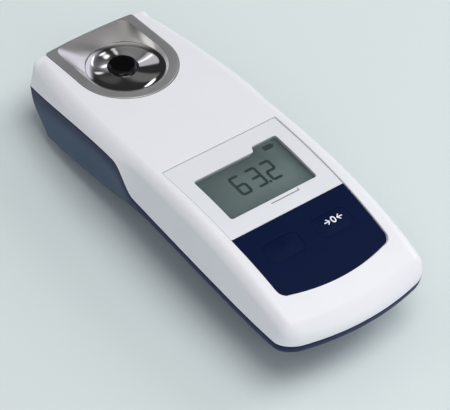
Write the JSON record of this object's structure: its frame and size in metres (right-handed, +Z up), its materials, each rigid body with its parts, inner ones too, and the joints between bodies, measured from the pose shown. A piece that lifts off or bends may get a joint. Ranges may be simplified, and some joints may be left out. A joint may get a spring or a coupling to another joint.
{
  "type": "digital refractometer",
  "caption": "Hand-held digital refractometer: steel sample dish with round prism at one end, display, two membrane keys, battery cover in the flat underside.",
  "frame": {"origin": "centre of the bounding box on the plane of the flat underside", "axes": "+Y along the instrument from the keypad end to the prism end, +Z up out of the display, +X to the right when read from the keypad end"},
  "size_m": [0.055, 0.132, 0.0294],
  "materials": {
    "white_shell": "satin moulded white plastic",
    "blue_shell": "fine-textured dark blue plastic",
    "stage_steel": "brushed border, polished dish",
    "prism_glass": "polished dark glass face",
    "black_rubber": "matt",
    "black_plastic": "matt",
    "navy_film": "satin film",
    "label_film": "satin film",
    "window_plastic": "clear",
    "display_glass": "grey-green reflective display",
    "board_green": "solder mask",
    "pale_plastic": "plain",
    "clear_lens": "clear",
    "amber_lamp": "tinted clear",
    "bright_metal": "plated",
    "copper_film": "polyimide film",
    "cell_wrap": "printed wrap left plain"
  },
  "bodies": {
    "housing": {"top_housing": "white_shell", "bottom_housing": "blue_shell", "stage_plate": "stage_steel", "prism": "prism_glass", "prism_seal": "black_rubber", "housing_gasket": "black_rubber", "zebra_strip": "black_rubber", "optics_chassis": "black_plastic", "battery_tray": "black_plastic", "lcd_frame": "black_plastic", "switch_left": "black_plastic", "switch_zero": "black_plastic", "processor": "black_plastic", "line_sensor": "black_plastic", "thermistor": "black_plastic", "keypad_sheet": "navy_film", "label_sheet": "label_film", "display_window": "window_plastic", "lcd_module": "display_glass", "main_board": "board_green", "sensor_board": "board_green", "led_board": "board_green", "lens": "clear_lens", "led": "amber_lamp", "contact_bridge": "bright_metal", "contact_positive": "bright_metal", "contact_negative": "bright_metal", "housing_screw_1": "bright_metal", "housing_screw_2": "bright_metal", "housing_screw_3": "bright_metal", "housing_screw_4": "bright_metal", "flex_cable": "copper_film", "battery_left": "cell_wrap", "battery_right": "cell_wrap"},
    "left_key_cap": {"left_key": "navy_film", "plunger_left": "pale_plastic"},
    "zero_key_cap": {"zero_key": "navy_film", "plunger_zero": "pale_plastic"},
    "bay_cover": {"battery_cover": "blue_shell", "cover_gasket": "black_rubber"},
    "coin_screw": {"cover_screw": "bright_metal"}
  },
  "joints": [
    {"name": "left_key_press", "type": "slide", "parent": "housing", "child": "left_key_cap", "axis": [0, 0, -1], "range_m": [0, 0.00025], "stiffness_N_per_m": 500, "springref_m": -0.0005},
    {"name": "zero_key_press", "type": "slide", "parent": "housing", "child": "zero_key_cap", "axis": [0, 0, -1], "range_m": [0, 0.00025], "stiffness_N_per_m": 500, "springref_m": -0.0005},
    {"name": "battery_cover_lift_off", "type": "slide", "parent": "housing", "child": "bay_cover", "axis": [0, 0, -1], "range_m": [0, 0.02]},
    {"name": "cover_screw_turn", "type": "hinge", "parent": "bay_cover", "child": "coin_screw", "pos_m": [0, 0.01125, 0.0005], "axis": [0, 0, -1], "continuous": true}
  ]
}
